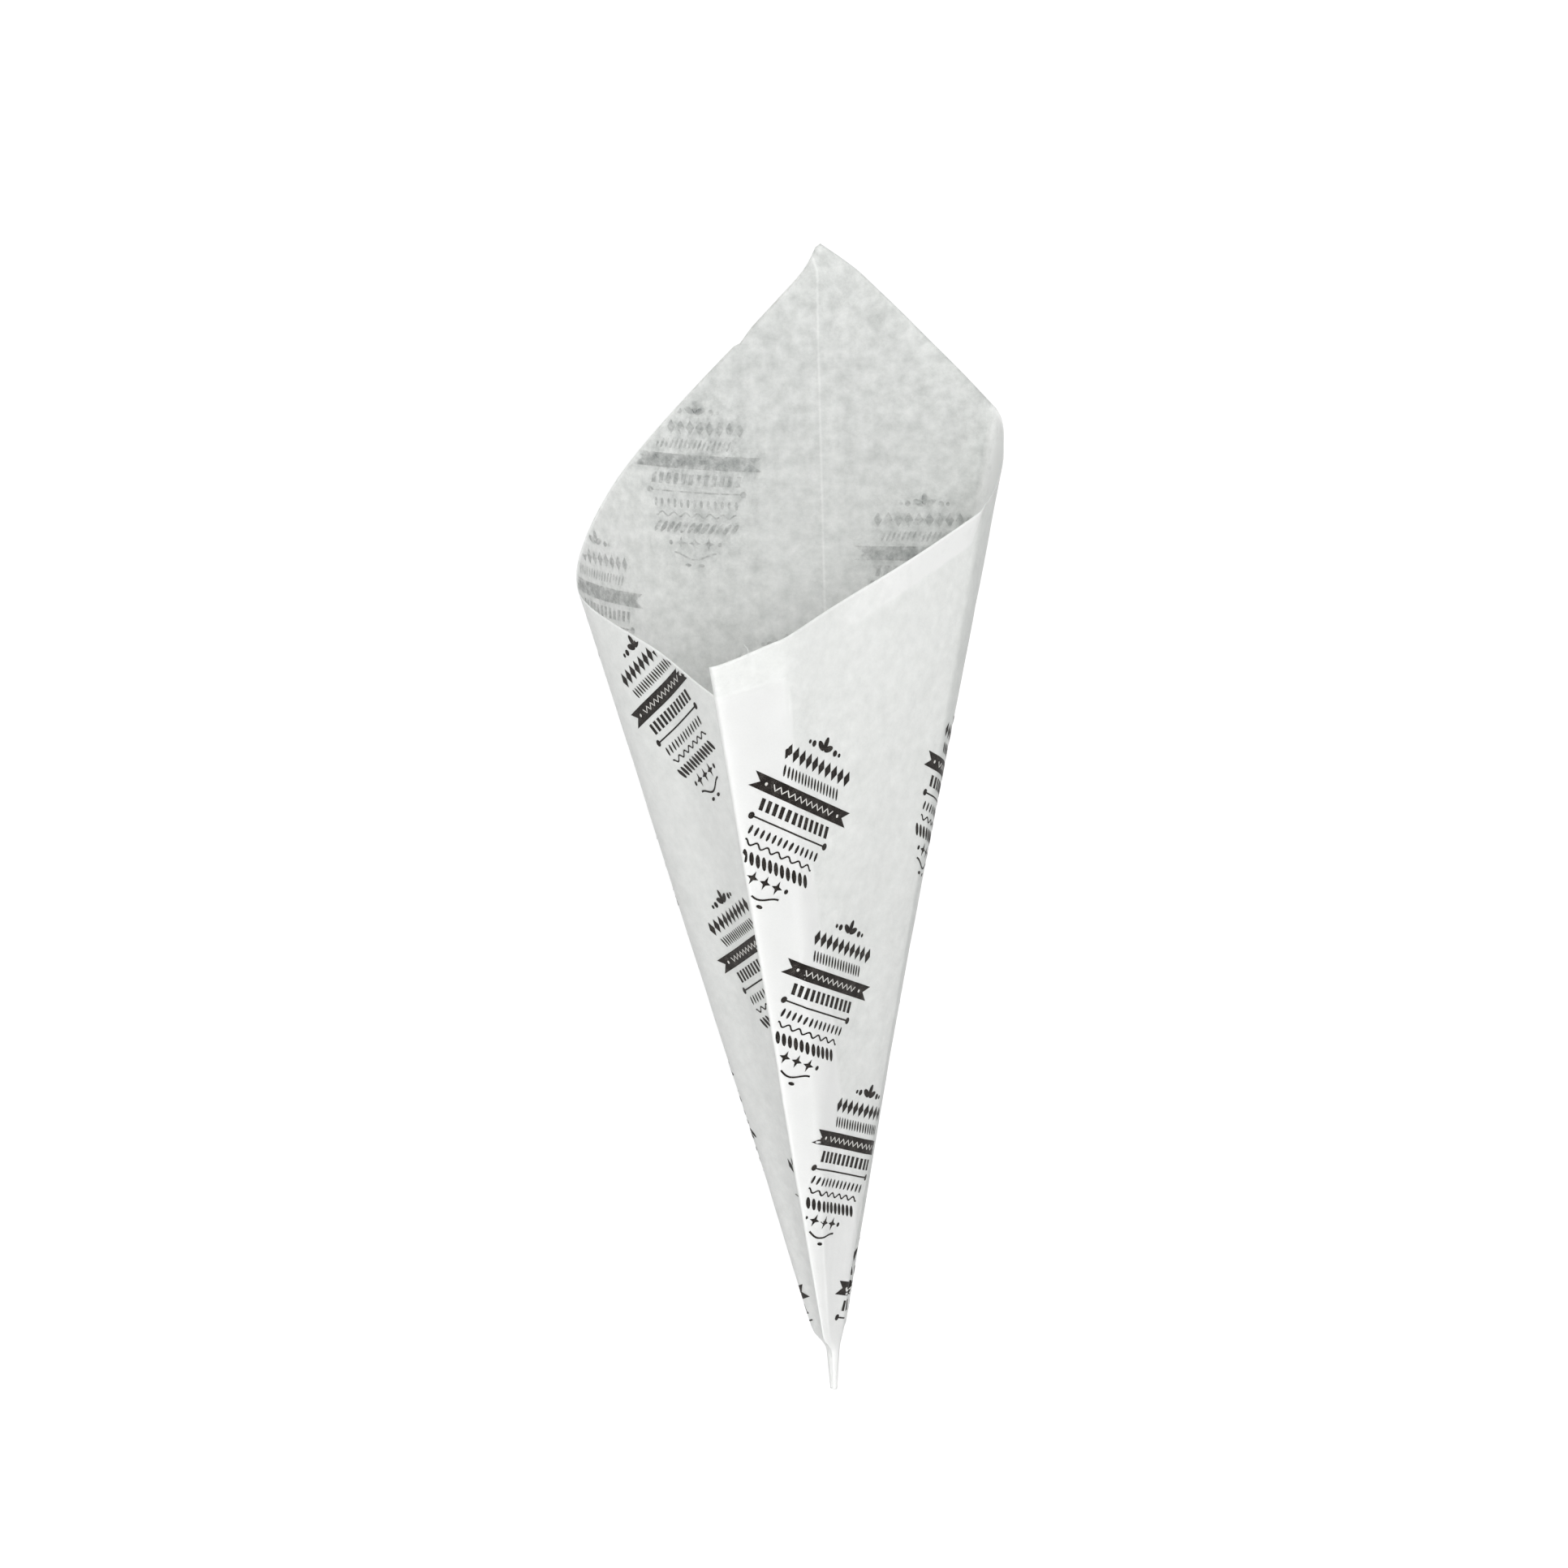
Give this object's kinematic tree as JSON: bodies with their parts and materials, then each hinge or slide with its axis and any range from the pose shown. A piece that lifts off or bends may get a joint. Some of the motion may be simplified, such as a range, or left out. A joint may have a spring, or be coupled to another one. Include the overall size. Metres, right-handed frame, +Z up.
{
  "type": "greaseproof paper cone",
  "caption": "Food cone rolled from one square sheet of greaseproof paper, with a lapped front seam and a tall back peak, lying on its back.",
  "frame": {"origin": "on the floor under the middle of the cone's box, as it lies on its back crease", "axes": "+Y from the tip toward the mouth and the peak, +Z up from the floor toward the front seam, +X to the right seen from above with the peak at the top"},
  "size_m": [0.1234, 0.3384, 0.1114],
  "materials": {
    "paper": "thin matt greaseproof paper, slightly see-through, with a pale grey print"
  },
  "bodies": {
    "root": {"paper_cone": "paper"}
  },
  "joints": []
}
